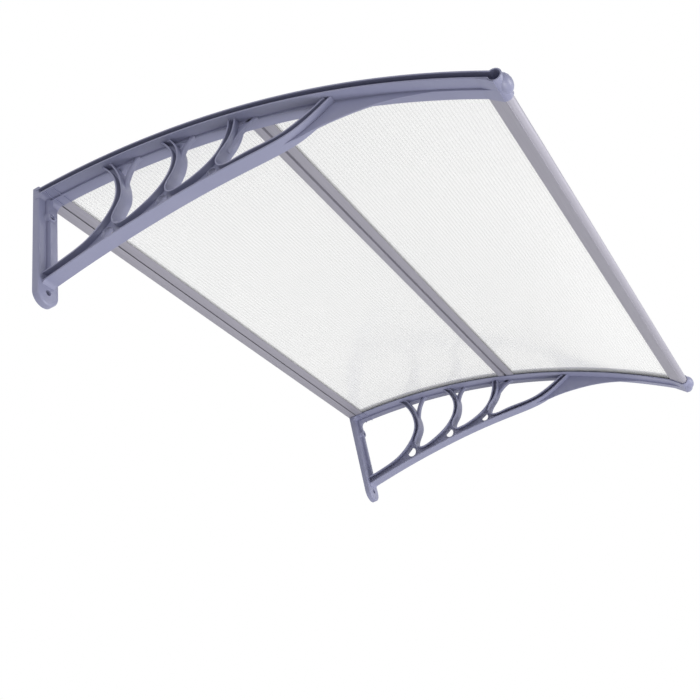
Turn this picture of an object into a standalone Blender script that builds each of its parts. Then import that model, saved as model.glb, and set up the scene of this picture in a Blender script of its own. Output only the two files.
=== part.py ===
"""Door canopy: two moulded brackets carry three aluminium rails and two twin-wall sheets.

Sizes are in millimetres, and MM turns them into metres where a mesh is made. The origin is the
middle of the rear rail's back face, on the wall. X runs along the wall, -Y out from it and +Z up.
A side view is drawn in (d, z): d out from the wall, z up. The sheets, the rails and the arches
follow one circle, the bend line, and a place on them is (s, h): s along the bend line from the
wall, h square to it and upwards.
"""
import math

import bmesh
import bpy
import numpy as np
from mathutils import Matrix
from mathutils.geometry import tessellate_polygon

MM = 0.001
FIT = 0.3  # clearance of every piece that slides into another

# Canopy
SPAN = 1152.0  # middle plane of one bracket to that of the other
BEND_RADIUS = 1434.0
CROWN_BACK = 25.0  # the top of the circle lies this far behind the wall
TUBE_S = 874.0  # along the bend line to the tube at the front

# Arch of a bracket: an H beam with a groove on each side
GROOVE = 8.6
UPPER_LIP = 2.6
LOWER_LIP = 2.7
ARCH_WIDTH = 50.0
WEB = 3.0
STUB = 4.0  # depth of the web's rib along the underside of the arch

# Tube and nose at the tip
TUBE_BORE_R = 9.0
TUBE_WALL = 2.5
NOSE_R = 14.0
NOSE_HALF_LENGTH = 20.0
NOSE_AHEAD = 5.0
NOSE_BELOW = 5.0

# Struts and brace
RIM = 2.8
RIM_WIDTH = 28.0
FORK = 5.5
FORK_WIDTH = 6.0
FLANGE = 3.0
FLANGE_WIDTH = 29.0
EDGE_STEP = 0.5  # cross ribs stand back this far from the edges of the arch
COLLAR_WALL = 2.5
COLLAR_WIDTH = 5.5

# Wall plate
PLATE_WIDTH = 48.0
PLATE_DEPTH = 13.0
PLATE_TOP = 14.5
PLATE_ROUND = 3.0
EAR_Z = -208.0
PLATE_RIB = 6.0
PLATE_RIB_REACH = 20.0
BOSS_Z = -49.0
BOSS_R = 9.5
BOSS_REACH = 22.0
SCREW_HOLE_R = 4.5
PAD_RIB = 1.6
PAD_DEPTH = 1.2
PAD_PAST = 2.5  # the outer cross rib stands this far past the rear rail

# Sheets
SHEET = 4.5
SKIN = 0.6
SHEET_RIB = 0.5
FLUTE_PITCH = 7.0
SHEET_END = 1.2

# Rails
RAIL_WALL = 1.4
SLOT_DEPTH = 14.0
REAR_RAIL_WIDTH = 39.0
MIDDLE_RAIL_S = 443.8
MIDDLE_RAIL_WIDTH = 39.0
CHAMBER_HALF = 4.5
CHAMBER_MOUTH = 6.0  # open below, from the chamber's rear wall
FRONT_RAIL_WIDTH = 28.5  # inner edge to the middle of its bead
BEAD_WALL = 1.5

# Outlines of the windows, each from the left end under the arch, or from the wall plate, down and
# along the brace and up again: (d, drop), with drop measured down from the arch's underside.
IN_PLATE = PLATE_DEPTH / 2
IN_LIP = -LOWER_LIP / 2
WINDOWS = (
    ((IN_PLATE, 165.5), (31, 162.5), (60, 156.5), (100, 143.5), (130, 124), (150, 104), (164, 79),
     (166.5, 55), (158, 23), (140, IN_LIP)),
    ((161, IN_LIP), (173.5, 26), (179.5, 55), (177, 84), (163, 107), (157, 121), (160, 130.5),
     (168, 134.5), (184, 132.5), (210, 121), (240, 103), (262, 82.5), (276, 60.5), (281, 38),
     (275, 15.5), (262, IN_LIP)),
    ((281.5, IN_LIP), (291, 16), (294, 33.5), (290, 54.5), (277, 78.5), (265, 95), (264, 104),
     (269.5, 109.5), (280, 109), (300, 103), (325, 91), (350, 74.5), (370, 54), (384, 30),
     (391, 12), (393.5, IN_LIP)),
    ((408, IN_LIP), (400.5, 23.5), (383, 51), (367, 69), (362, 79.5), (364.5, 87.5), (373, 90),
     (400, 83), (440, 71), (480, 57), (510, 39.5), (540, 17.5), (562, IN_LIP)),
)
FLANGE_TOP = ((IN_PLATE, 183.5), (100, 165), (200, 143), (300, 118.5), (400, 92.5), (470, 70.5),
              (500, 56.5), (520, 43.5), (545, 24), (574, IN_LIP))
GUSSET_EDGE = ((478, 70.5), (500, 64.5), (525, 54.5), (556, 43), (596, 30), (637, 18.5),
               (680, 10), (722, STUB))
FORKS = (
    ((173, 73), (177, 61), (181.5, 46), (192.5, 21.5), (203, 7), (210, IN_LIP)),
    ((283, 60), (288, 49), (295, 32), (305.5, 14.5), (316, 3.5), (321, IN_LIP)),
    ((376, 55), (386, 44), (398, 32), (410, 20.5), (422, 11), (433, 4), (441, IN_LIP)),
)
FORK_WEBS = (6.0, 6.0, 13.0)  # the web's width beside each fork, towards the strut
BRACE_HOLES = (((137, 137.5), 11.0), ((246, 115), 10.0), ((344.5, 92), 8.5))  # centre, radius

# Fineness of the curves
MAX_TURN = math.radians(9)
MAX_RUN = 32.0
ARC_STEPS = 36
ROUND_SIDES = 32
SMOOTH_ANGLE = math.radians(32)
SLIVER = 0.05  # corners closer than this are one corner
GAP_SIDES = 6  # the most sides of a gap left by a boolean that is closed again
SPLINE_STEP = 1.5
RIB_POINTS = 8
FORK_POINTS = 8
FORK_STEP = 0.5
EAR_SIDES = 20
SMALL_ROUND_SIDES = 20
EDGE_SEGMENTS = 3
NOSE_SEGMENTS = 24
NOSE_RINGS = 14
PAST = 2.0  # how far a cutter runs past the solid that it cuts

RAIL_HEIGHT = GROOVE - 2 * FIT
SLOT = SHEET + 2 * FIT
TUBE_R = TUBE_BORE_R + TUBE_WALL
BEAD_R = TUBE_BORE_R - FIT
UNDERSIDE = -GROOVE / 2 - LOWER_LIP
CROWN_ANGLE = math.asin(CROWN_BACK / BEND_RADIUS)
CENTRE_Z = -BEND_RADIUS * math.cos(CROWN_ANGLE)
PIECE_HALF = SPAN / 2 - WEB / 2 - FIT  # rails and sheets end just short of the webs
FRONT_RAIL_S = TUBE_S - FRONT_RAIL_WIDTH
TUBE_TILT = -CROWN_ANGLE - TUBE_S / BEND_RADIUS  # heading of the bend line at the tube
SLOT_FLOOR = REAR_RAIL_WIDTH - SLOT_DEPTH
PAD_STARTS = (SLOT_FLOOR, REAR_RAIL_WIDTH + PAD_PAST)  # near edges of the arch's cross ribs


def on_bend(s, h):
    """Side-view point (d, z) of the place (s, h)."""
    angle = CROWN_ANGLE + s / BEND_RADIUS
    radius = BEND_RADIUS + h
    return radius * math.sin(angle) - CROWN_BACK, CENTRE_Z + radius * math.cos(angle)


def above_wall_point(d, h):
    """Side-view point at distance d from the wall on the circle that runs h above the bend line."""
    radius = BEND_RADIUS + h
    return d, CENTRE_Z + math.sqrt(radius ** 2 - (d + CROWN_BACK) ** 2)


def under(d, drop):
    """Side-view point a given drop below the arch's underside."""
    d, z = above_wall_point(d, UNDERSIDE)
    return d, z - drop


def smooth(points):
    """Natural cubic spline through the points, kept only as dense as its bends need."""
    p = np.array(points, float)
    t = np.r_[0, np.cumsum(np.linalg.norm(np.diff(p, axis=0), axis=1))]
    gap = np.diff(t)
    slope = np.diff(p, axis=0) / gap[:, None]
    system = np.eye(len(p))
    right = np.zeros_like(p)
    for i in range(1, len(p) - 1):
        system[i, i - 1:i + 2] = gap[i - 1], 2 * (gap[i - 1] + gap[i]), gap[i]
        right[i] = 6 * (slope[i] - slope[i - 1])
    bend = np.linalg.solve(system, right)
    fine = np.linspace(0, t[-1], int(t[-1] / SPLINE_STEP) + 2)
    k = np.clip(np.searchsorted(t, fine, side="right") - 1, 0, len(gap) - 1)
    a = ((fine - t[k]) / gap[k])[:, None]
    g = gap[k][:, None]
    curve = (1 - a) * p[k] + a * p[k + 1]
    curve += g ** 2 / 6 * (((1 - a) ** 3 - (1 - a)) * bend[k] + (a ** 3 - a) * bend[k + 1])
    step = np.diff(curve, axis=0)
    heading = np.unwrap(np.arctan2(step[:, 1], step[:, 0]))
    kept = [0]
    for i in range(1, len(curve) - 1):
        if abs(heading[i] - heading[kept[-1]]) > MAX_TURN or fine[i] - fine[kept[-1]] > MAX_RUN:
            kept.append(i)
    return curve[kept + [len(curve) - 1]]


def moved_right(curve, distance):
    """The curve moved square to itself, to the right of its heading."""
    step = np.diff(curve, axis=0)
    normal = np.stack([step[:, 1], -step[:, 0]], 1) / np.linalg.norm(step, axis=1)[:, None]
    at_point = np.vstack([normal[:1], normal[:-1] + normal[1:], normal[-1:]])
    at_point /= np.linalg.norm(at_point, axis=1)[:, None]
    along = np.sum(at_point * np.vstack([normal[:1], normal]), axis=1)
    return curve + at_point * (distance / along)[:, None]


def band(curve, thickness):
    """Outline of a strip with the curve as its left side."""
    return np.vstack([curve, moved_right(curve, thickness)[::-1]])


def dropped(points):
    """Smooth side-view curve through points given as (d, drop)."""
    return smooth([under(d, drop) for d, drop in points])


def arc(centre, radius, start, end, sides):
    """Points on an arc in the side view, angles counted from the direction away from the wall."""
    return [(centre[0] + radius * math.cos(a), centre[1] + radius * math.sin(a))
            for a in np.linspace(start, end, sides + 1)]


def circle(centre, radius, sides=ROUND_SIDES):
    return arc(centre, radius, 0, 2 * math.pi, sides)[:-1]


def bend_run(start, end, h, steps=ARC_STEPS):
    """Points along the bend from one s to another at height h."""
    return [on_bend(s, h) for s in np.linspace(start, end, steps + 1)]


def add_object(name, mesh):
    thing = bpy.data.objects.new(name, mesh)
    bpy.context.scene.collection.objects.link(thing)
    return thing


def finished(name, built):
    """Object from a bmesh in millimetres, with its faces turned outwards."""
    bmesh.ops.recalc_face_normals(built, faces=built.faces)
    bmesh.ops.scale(built, vec=(MM, MM, MM), verts=built.verts)
    mesh = bpy.data.meshes.new(name)
    built.to_mesh(mesh)
    built.free()
    return add_object(name, mesh)


def prism(name, outlines, half, middle=0.0):
    """Solid with a side-view outline and holes in it, reaching half each way along X from middle."""
    built = bmesh.new()
    ends = [[built.verts.new((middle + side * half, -d, z)) for loop in outlines for d, z in loop]
            for side in (-1, 1)]
    for triangle in tessellate_polygon([[(d, z, 0) for d, z in loop] for loop in outlines]):
        for end in ends:
            built.faces.new([end[i] for i in triangle])
    first = 0
    for loop in outlines:
        for i in range(len(loop)):
            a = first + i
            b = first + (i + 1) % len(loop)
            built.faces.new((ends[0][a], ends[0][b], ends[1][b], ends[1][a]))
        first += len(loop)
    return finished(name, built)


def rod_from_wall(name, radius, start, end, z, sides=ROUND_SIDES):
    """Round bar square to the wall on the bracket's middle plane."""
    built = bmesh.new()
    place = Matrix.Translation((0, -(start + end) / 2, z)) @ Matrix.Rotation(math.pi / 2, 4, "X")
    bmesh.ops.create_cone(built, cap_ends=True, segments=sides, radius1=radius, radius2=radius,
                          depth=end - start, matrix=place)
    return finished(name, built)


def combine(base, others, operation):
    """Adds or cuts the other solids at once; they stay in the file as hidden guides."""
    guides = bpy.data.collections.new(f"{base.name}_{operation.lower()}")
    for other in others:
        other.hide_render = True
        other.display_type = "WIRE"
        guides.objects.link(other)
    change = base.modifiers.new(operation.title(), "BOOLEAN")
    change.operation = operation
    change.solver = "EXACT"
    change.operand_type = "COLLECTION"
    change.collection = guides
    slivers = base.modifiers.new("Slivers", "WELD")
    slivers.merge_threshold = SLIVER * MM


def baked(thing, name):
    """Closed mesh of an object with its modifiers applied.

    At some sizes the boolean leaves out a very narrow face, which is put back here.
    """
    bpy.context.view_layer.update()
    graph = bpy.context.evaluated_depsgraph_get()
    mesh = bpy.data.meshes.new_from_object(thing.evaluated_get(graph))
    mesh.name = name
    built = bmesh.new()
    built.from_mesh(mesh)
    gaps = [edge for edge in built.edges if edge.is_boundary]
    bmesh.ops.holes_fill(built, edges=gaps, sides=GAP_SIDES)
    bmesh.ops.recalc_face_normals(built, faces=built.faces)
    built.to_mesh(mesh)
    built.free()
    return mesh


def arch_bar():
    """Bar of both lips with the tube's round at its front, before the grooves are cut."""
    top = GROOVE / 2 + UPPER_LIP
    high = math.asin(top / TUBE_R)
    low = math.asin(UNDERSIDE / TUBE_R)
    outline = bend_run(IN_PLATE, TUBE_S - TUBE_R * math.cos(high), top)[:-1]
    outline += arc(on_bend(TUBE_S, 0), TUBE_R, TUBE_TILT + math.pi - high,
                   TUBE_TILT - math.pi - low, ROUND_SIDES)
    outline += bend_run(TUBE_S - TUBE_R * math.cos(low), IN_PLATE, UNDERSIDE)[1:]
    return prism("arch_bar", [outline], ARCH_WIDTH / 2)


def groove_cutter(side):
    """Groove from the wall plate to the tube, with the tube's bore at its end, on one side."""
    mouth = math.asin(GROOVE / 2 / TUBE_BORE_R)
    groove_end = TUBE_S - TUBE_BORE_R * math.cos(mouth)
    low = [above_wall_point(PLATE_DEPTH, -GROOVE / 2)]
    low += bend_run(PLATE_DEPTH + MAX_RUN, groove_end, -GROOVE / 2)[:-1]
    bore = arc(on_bend(TUBE_S, 0), TUBE_BORE_R, TUBE_TILT - math.pi + mouth,
               TUBE_TILT + math.pi - mouth, ROUND_SIDES)
    high = bend_run(groove_end, PLATE_DEPTH + MAX_RUN, GROOVE / 2)[1:]
    high += [above_wall_point(PLATE_DEPTH, GROOVE / 2)]
    depth = ARCH_WIDTH / 2 - WEB / 2 + PAST
    return prism("groove", [low + bore + high], depth / 2, side * (WEB / 2 + depth / 2))


def rim_edge(points):
    """Middle line of a window's rim where it lies below the rib under the arch."""
    curve = moved_right(dropped(points), RIM / 2)
    height = np.array([z - under(d, STUB)[1] for d, z in curve])
    edge = []
    for i in range(len(curve) - 1):
        if height[i] < 0:
            edge.append(tuple(curve[i]))
        if height[i] * height[i + 1] < 0:
            share = height[i] / (height[i] - height[i + 1])
            edge.append(tuple(curve[i] + share * (curve[i + 1] - curve[i])))
    return edge


def opening(edge):
    """Opening in the web with that edge, closed along the rib under the arch."""
    return edge + [under(d, STUB) for d in np.linspace(edge[-1][0], edge[0][0], RIB_POINTS)[1:]]


def levels(curve):
    """Drops of a side-view curve's points below the arch, and their distances from the wall."""
    return [under(d, 0)[1] - z for d, z in curve], [d for d, z in curve]


def fork_openings(edge, points, beside):
    """The web's opening beyond a fork, and the small one between the fork and its strut."""
    fork = levels(dropped(points)[::-1])
    drops, places = levels(edge)
    lowest = int(np.argmax(drops)) + 1
    strut = drops[:lowest], places[:lowest]

    def line(reach):
        """Drops at which a line that far from the fork's middle lies beyond the strut."""
        fine = np.arange(STUB, points[0][1], FORK_STEP)
        beyond = np.interp(fine, *fork) - reach > np.interp(fine, *strut)
        return np.linspace(STUB, fine[beyond][-1], FORK_POINTS)

    run = line(0)
    large = [under(d, drop) for d, drop in zip(np.interp(run, *fork), run)]
    large += [place for place, drop in zip(edge[:lowest], drops) if drop > run[-1]] + edge[lowest:]
    reach = FORK / 2 + beside
    run = line(reach)
    small = [under(d, drop) for d, drop in zip(np.interp(run, *strut), run)]
    small += [under(d - reach, drop) for d, drop in zip(np.interp(run, *fork), run)][-2::-1]
    return [opening(large), small]


def web_plate():
    """The thin wall that joins arch, struts and brace on the middle plane."""
    start = IN_PLATE / 2
    outline = bend_run(start, TUBE_S, GROOVE / 2 + UPPER_LIP / 2)[:-1]
    outline += arc(on_bend(TUBE_S, 0), TUBE_R - TUBE_WALL / 2, TUBE_TILT + math.pi / 2,
                   TUBE_TILT - math.pi / 2, ROUND_SIDES // 2)
    outline += [under(d, STUB) for d in np.linspace(on_bend(TUBE_S, 0)[0] - TUBE_R,
                                                    GUSSET_EDGE[-1][0], RIB_POINTS)]
    outline += [tuple(p) for p in dropped(GUSSET_EDGE)[::-1][1:]]
    brace = moved_right(dropped(FLANGE_TOP), FLANGE / 2)[::-1]
    outline += [(d, z) for d, z in brace if d < GUSSET_EDGE[0][0] - FLANGE]
    outline += [(start, outline[-1][1])]
    edges = [rim_edge(points) for points in WINDOWS]
    holes = [opening(edges[0])]
    for edge, points, beside in zip(edges[1:], FORKS, FORK_WEBS):
        holes += fork_openings(edge, points, beside)
    return prism("web", [outline] + holes, WEB / 2)


def wall_plate():
    """Flat plate with a round ear at its foot and its front edge rounded."""
    built = bmesh.new()
    half = PLATE_WIDTH / 2
    outline = [(half - PLATE_ROUND, PLATE_TOP), (-half + PLATE_ROUND, PLATE_TOP),
               (-half, PLATE_TOP - PLATE_ROUND)]
    outline += [(half * math.cos(a), EAR_Z + half * math.sin(a))
                for a in np.linspace(math.pi, 2 * math.pi, EAR_SIDES + 1)]
    outline += [(half, PLATE_TOP - PLATE_ROUND)]
    back = built.faces.new([built.verts.new((x, 0, z)) for x, z in outline])
    front = bmesh.ops.extrude_face_region(built, geom=[back])
    raised = [v for v in front["geom"] if isinstance(v, bmesh.types.BMVert)]
    bmesh.ops.translate(built, verts=raised, vec=(0, -PLATE_DEPTH, 0))
    rim = [e for e in built.edges if all(v in raised for v in e.verts)]
    bmesh.ops.bevel(built, geom=rim, offset=PLATE_ROUND, segments=EDGE_SEGMENTS, profile=0.5,
                    affect="EDGES")
    return finished("wall_plate", built)


def nose():
    """Rounded end in front of the tube."""
    d, z = on_bend(TUBE_S, 0)
    built = bmesh.new()
    place = (Matrix.Translation((0, -d - NOSE_AHEAD, z - NOSE_BELOW))
             @ Matrix.Rotation(math.pi / 2, 4, "Y")
             @ Matrix.Diagonal((NOSE_R, NOSE_R, NOSE_HALF_LENGTH, 1)))
    bmesh.ops.create_uvsphere(built, u_segments=NOSE_SEGMENTS, v_segments=NOSE_RINGS, radius=1,
                              matrix=place)
    return finished("nose", built)


def collar(centre, radius):
    return prism("collar", [circle(under(*centre), radius + COLLAR_WALL)], COLLAR_WIDTH / 2)


def cross_rib(d):
    """Shallow rib across the underside of the arch."""
    corners = [(d, IN_LIP), (d + PAD_RIB, IN_LIP), (d + PAD_RIB, PAD_DEPTH), (d, PAD_DEPTH)]
    return prism("cross_rib", [[under(*corner) for corner in corners]], ARCH_WIDTH / 2 - EDGE_STEP)


def bracket_mesh():
    """One moulded bracket about its own middle plane, which both sides of the canopy share."""
    rims = [prism("rim", [band(dropped(points), RIM)], RIM_WIDTH / 2) for points in WINDOWS]
    forks = [prism("fork", [band(moved_right(dropped(points), -FORK / 2), FORK)], FORK_WIDTH / 2)
             for points in FORKS]
    flange = prism("flange", [band(dropped(FLANGE_TOP), FLANGE)], FLANGE_WIDTH / 2)
    rib_foot = under(IN_PLATE, FLANGE_TOP[0][1])[1]
    rib_head = under(PLATE_RIB_REACH, IN_LIP)[1]
    rib_sides = [(IN_PLATE, rib_foot), (PLATE_RIB_REACH, rib_foot), (PLATE_RIB_REACH, rib_head),
                 (IN_PLATE, rib_head)]
    plate_rib = prism("plate_rib", [rib_sides], PLATE_RIB / 2)
    boss = rod_from_wall("boss", BOSS_R, IN_PLATE, BOSS_REACH, BOSS_Z)
    collars = [collar(centre, radius) for centre, radius in BRACE_HOLES]
    bracket = arch_bar()
    combine(bracket, [nose(), wall_plate(), web_plate(), flange, plate_rib, boss]
            + rims + forks + collars + [cross_rib(d) for d in PAD_STARTS], "UNION")
    holes = [prism("brace_hole", [circle(under(*centre), radius)], COLLAR_WIDTH)
             for centre, radius in BRACE_HOLES]
    screws = [rod_from_wall("screw_hole", SCREW_HOLE_R, -PAST, BOSS_REACH + PAST, z,
                            SMALL_ROUND_SIDES) for z in (BOSS_Z, EAR_Z)]
    combine(bracket, [groove_cutter(-1), groove_cutter(1)] + holes + screws, "DIFFERENCE")
    mesh = baked(bracket, "bracket")
    bpy.data.objects.remove(bracket)
    return mesh


def rear_rail():
    """Box along the wall with a slot for the rear sheet, sawn out at each end for the wall plates."""
    half = RAIL_HEIGHT / 2
    box_end = SLOT_FLOOR - RAIL_WALL
    outline = [above_wall_point(0, half), on_bend(REAR_RAIL_WIDTH, half),
               on_bend(REAR_RAIL_WIDTH, SLOT / 2), on_bend(SLOT_FLOOR, SLOT / 2),
               on_bend(SLOT_FLOOR, -SLOT / 2), on_bend(REAR_RAIL_WIDTH, -SLOT / 2),
               on_bend(REAR_RAIL_WIDTH, -half), above_wall_point(0, -half)]
    box = [on_bend(RAIL_WALL, SLOT / 2), on_bend(box_end, SLOT / 2), on_bend(box_end, -SLOT / 2),
           on_bend(RAIL_WALL, -SLOT / 2)]
    rail = prism("rear_rail", [outline, box], PIECE_HALF)
    notch = PLATE_DEPTH + FIT
    corners = [(-PAST, -RAIL_HEIGHT), (notch, -RAIL_HEIGHT), (notch, RAIL_HEIGHT),
               (-PAST, RAIL_HEIGHT)]
    notch_half = max(PLATE_WIDTH, ARCH_WIDTH) / 2 + FIT
    combine(rail, [prism("rail_notch", [corners], notch_half, end * SPAN / 2)
                   for end in (-1, 1)], "DIFFERENCE")
    return rail


def middle_rail():
    """Rail that joins the two sheets, with a slot each way and a chamber open below at its rear."""
    half = RAIL_HEIGHT / 2
    edge = MIDDLE_RAIL_WIDTH / 2
    outside = CHAMBER_HALF + RAIL_WALL
    slot_side = [(edge, half), (edge, SLOT / 2), (outside, SLOT / 2), (outside, -SLOT / 2),
                 (edge, -SLOT / 2), (edge, -half)]
    mouth = CHAMBER_MOUTH - CHAMBER_HALF
    chamber = [(mouth, -half), (mouth, -SLOT / 2), (CHAMBER_HALF, -SLOT / 2),
               (CHAMBER_HALF, SLOT / 2), (-CHAMBER_HALF, SLOT / 2), (-CHAMBER_HALF, -half)]
    profile = slot_side + chamber + [(-s, h) for s, h in slot_side[::-1]]
    return prism("middle_rail", [[on_bend(MIDDLE_RAIL_S + s, h) for s, h in profile]], PIECE_HALF)


def front_rail():
    """Rail with a slot for the front sheet and a hollow round bead that lies in the tubes."""
    half = RAIL_HEIGHT / 2
    neck = math.asin(half / BEAD_R)
    slot_end = FRONT_RAIL_S + SLOT_DEPTH
    outline = [on_bend(FRONT_RAIL_S, SLOT / 2), on_bend(FRONT_RAIL_S, half)]
    outline += arc(on_bend(TUBE_S, 0), BEAD_R, TUBE_TILT + math.pi - neck,
                   TUBE_TILT - math.pi + neck, ROUND_SIDES)
    outline += [on_bend(FRONT_RAIL_S, -half), on_bend(FRONT_RAIL_S, -SLOT / 2),
                on_bend(slot_end, -SLOT / 2), on_bend(slot_end, SLOT / 2)]
    bore = circle(on_bend(TUBE_S, 0), BEAD_R - BEAD_WALL, SMALL_ROUND_SIDES)
    return prism("front_rail", [outline, bore], PIECE_HALF)


def sheet(name, start, end):
    """Twin-wall sheet bent to the arch, with its flutes along the wall."""
    count = round((end - start) / FLUTE_PITCH)
    ribs = np.linspace(start, end, count + 1)
    outline = [on_bend(s, SHEET / 2) for s in ribs] + [on_bend(s, -SHEET / 2) for s in ribs[::-1]]
    air = SHEET / 2 - SKIN
    flutes = []
    for i in range(count):
        left = ribs[i] + (SHEET_END if i == 0 else SHEET_RIB / 2)
        right = ribs[i + 1] - (SHEET_END if i == count - 1 else SHEET_RIB / 2)
        flutes.append([on_bend(left, air), on_bend(right, air), on_bend(right, -air),
                       on_bend(left, -air)])
    return prism(name, [outline] + flutes, PIECE_HALF)


def material(name, colour, roughness, metallic=0.0, alpha=1.0):
    made = bpy.data.materials.new(name)
    made.use_nodes = True
    shader = made.node_tree.nodes["Principled BSDF"]
    shader.inputs["Base Color"].default_value = (*colour, 1)
    shader.inputs["Roughness"].default_value = roughness
    shader.inputs["Metallic"].default_value = metallic
    shader.inputs["Alpha"].default_value = alpha
    return made


def finish(thing, look):
    thing.data.materials.clear()
    thing.data.materials.append(look)
    thing.data.shade_smooth()
    thing.data.set_sharp_from_angle(angle=SMOOTH_ANGLE)


def main():
    for thing in list(bpy.data.objects):
        bpy.data.objects.remove(thing)
    moulded = material("moulded_plastic", (0.235, 0.24, 0.35), 0.42)
    aluminium = material("aluminium", (0.24, 0.23, 0.29), 0.38, metallic=0.6)
    milky = material("milky_polycarbonate", (0.88, 0.88, 0.86), 0.3, alpha=0.75)

    shared = bracket_mesh()
    for name, end in (("left_bracket", -1), ("right_bracket", 1)):
        bracket = add_object(name, shared)
        bracket.location.x = end * SPAN / 2 * MM
        finish(bracket, moulded)
    for rail in (rear_rail(), middle_rail(), front_rail()):
        finish(rail, aluminium)
    joint_side = CHAMBER_HALF + RAIL_WALL + FIT
    rear_start = SLOT_FLOOR + FIT
    front_end = FRONT_RAIL_S + SLOT_DEPTH - FIT
    finish(sheet("rear_sheet", rear_start, MIDDLE_RAIL_S - joint_side), milky)
    finish(sheet("front_sheet", MIDDLE_RAIL_S + joint_side, front_end), milky)


main()
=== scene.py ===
"""Arched door canopy: two moulded brackets, three aluminium rails and two twin-wall sheets.

Sizes are in millimetres until a mesh is made. A side view is drawn in (d, z): d out from the wall,
z up. A place on the arch is (s, h): s along its bend line from the wall, h square to it, upwards.
"""

import bmesh
import bpy
import numpy as np
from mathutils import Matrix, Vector
from mathutils.geometry import tessellate_polygon


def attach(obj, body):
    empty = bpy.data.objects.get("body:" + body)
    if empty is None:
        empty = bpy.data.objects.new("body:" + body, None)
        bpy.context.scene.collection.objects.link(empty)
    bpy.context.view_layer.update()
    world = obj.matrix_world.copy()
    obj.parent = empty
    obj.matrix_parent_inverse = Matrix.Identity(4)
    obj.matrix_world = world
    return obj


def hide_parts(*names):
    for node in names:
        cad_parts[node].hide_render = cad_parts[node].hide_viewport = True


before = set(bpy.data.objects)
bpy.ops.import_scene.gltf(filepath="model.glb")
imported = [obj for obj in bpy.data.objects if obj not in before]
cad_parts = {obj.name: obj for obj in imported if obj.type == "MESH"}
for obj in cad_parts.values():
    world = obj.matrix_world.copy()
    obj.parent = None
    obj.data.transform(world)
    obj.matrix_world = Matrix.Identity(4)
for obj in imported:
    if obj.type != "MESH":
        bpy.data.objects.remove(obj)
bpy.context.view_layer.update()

# Arch of each bracket: the plastic beam that carries the sheet's edge. Two lips hold the sheet and
# the rails between them, and at the front they run into one tube, open towards the groove.
MM = 0.001
SPAN = 1152.0  # middle plane of one bracket to that of the other
BEND_RADIUS = 1434.0
CROWN_BACK = 25.0  # the top of the bend lies this far behind the wall
CROWN_ANGLE = np.arcsin(CROWN_BACK / BEND_RADIUS)
CENTRE_Z = -BEND_RADIUS * np.cos(CROWN_ANGLE)
TUBE_S = 874.0
GROOVE = 8.6
UPPER_LIP = 2.6
LOWER_LIP = 2.7
ARCH_WIDTH = 50.0
TUBE_BORE_R = 9.0
TUBE_R = 11.5
TUBE_TILT = -CROWN_ANGLE - TUBE_S / BEND_RADIUS
TUBE_SIDES = 64
UNDERSIDE = -GROOVE / 2 - LOWER_LIP
PLATE_DEPTH = 13.0
LIP_START = PLATE_DEPTH / 2
LIP_FILLET = 8.0
UPPER_ROWS = 120
LOWER_ROWS = 110
FINE_FROM = 40.0  # between here and the wall plate the lower lip's rows stand closer
FINE_ROWS = 34
EDGE_ROUND = 0.55
THIN_EDGE = 0.3  # edge of small ribs and thin walls
HOLD = 0.5  # a row this close to a rounded edge keeps the flat beside it flat
MERGE = 1e-7
SMOOTH_BELOW = np.radians(38.0)


def on_bend(s, h):
    """Points of the side view: the angle from the crown grows with s, the radius with h."""
    angle = CROWN_ANGLE + np.asarray(s, float) / BEND_RADIUS
    radius = BEND_RADIUS + np.asarray(h, float)
    return np.stack([radius * np.sin(angle) - CROWN_BACK, CENTRE_Z + radius * np.cos(angle)], -1)


def arc(centre, radius, start, end, sides):
    """Points at equal angles on a circle in the side view."""
    angle = np.linspace(start, end, sides + 1)
    return np.asarray(centre) + radius * np.stack([np.cos(angle), np.sin(angle)], -1)


def fillet(distance, radius):
    """Height of a quarter round that falls from the radius to nothing over that distance."""
    left = np.clip(radius - distance, 0, radius)
    return radius - np.sqrt(radius ** 2 - left ** 2)


def wrapped(rows, columns):
    """Quads between neighbouring rows of points, where each row is a closed loop."""
    row, column = np.arange(rows - 1)[:, None] * columns, np.arange(columns)
    a, b = (row + column).ravel(), (row + np.roll(column, -1)).ravel()
    return np.stack([a, b, b + columns, a + columns], 1).tolist()


def strip(left, right, half, edge=EDGE_ROUND, steps=3):
    """Closed bar between two side-view curves, reaching half each way along X.

    Its section is a rounded rectangle: a corner point lies edge * (1 - cos) inside the curve's
    face and edge * (1 - sin) inside the end, and is carried along both curves together.
    """
    turn = np.linspace(0, np.pi / 2, steps + 1)
    sink = np.r_[0.0, edge * (1 - np.cos(turn))]
    reach = np.r_[half - edge - min(HOLD, half / 4), half - edge * (1 - np.sin(turn))]
    inset = np.r_[sink, sink[::-1], sink, sink[::-1]][None, :, None]
    across = np.r_[reach, reach[::-1], -reach, -reach[::-1]]
    on_right = np.repeat([True, False, False, True], len(sink))[None, :, None]
    square = right - left
    square = (square / np.linalg.norm(square, axis=1)[:, None])[:, None]
    side = np.where(on_right, right[:, None] - square * inset, left[:, None] + square * inset)
    rows, columns = side.shape[:2]
    x = np.broadcast_to(across, (rows, columns))
    points = np.stack([x, -side[..., 0], side[..., 1]], -1)
    ends = [list(range(columns)), list(range((rows - 1) * columns, rows * columns))]
    return points.reshape(-1, 3), wrapped(rows, columns) + ends


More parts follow.
